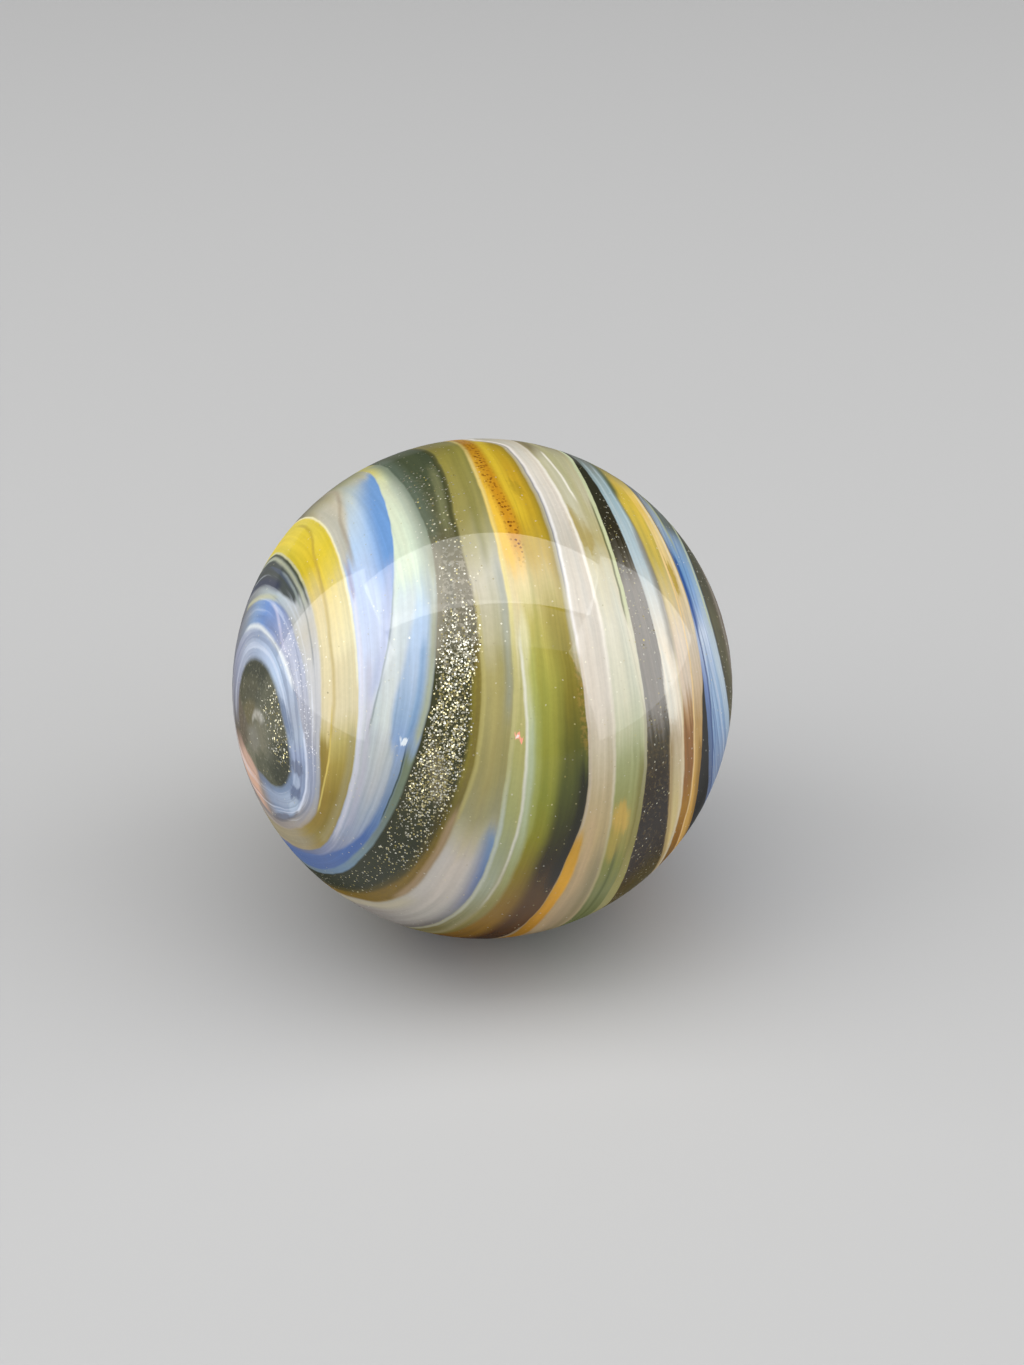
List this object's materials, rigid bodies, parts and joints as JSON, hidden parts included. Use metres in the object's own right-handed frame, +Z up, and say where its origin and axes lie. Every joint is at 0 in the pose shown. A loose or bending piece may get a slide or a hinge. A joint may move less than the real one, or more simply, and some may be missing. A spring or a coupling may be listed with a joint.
{
  "type": "glass marble",
  "caption": "Solid round glass marble with twisted bands of coloured, glittering glass melted in under a clear polished skin.",
  "frame": {"origin": "centre of the ball", "axes": "+Z up as the marble is shown; the axis its bands twist round lies almost level, from the left end of X, a little forward, to the right end"},
  "size_m": [0.025, 0.025, 0.025],
  "materials": {
    "swirl_glass": "fire-polished gloss over twisted bands of green, olive, amber, blue and milky glass with fine glitter"
  },
  "bodies": {
    "root": {"marble": "swirl_glass"}
  },
  "joints": []
}
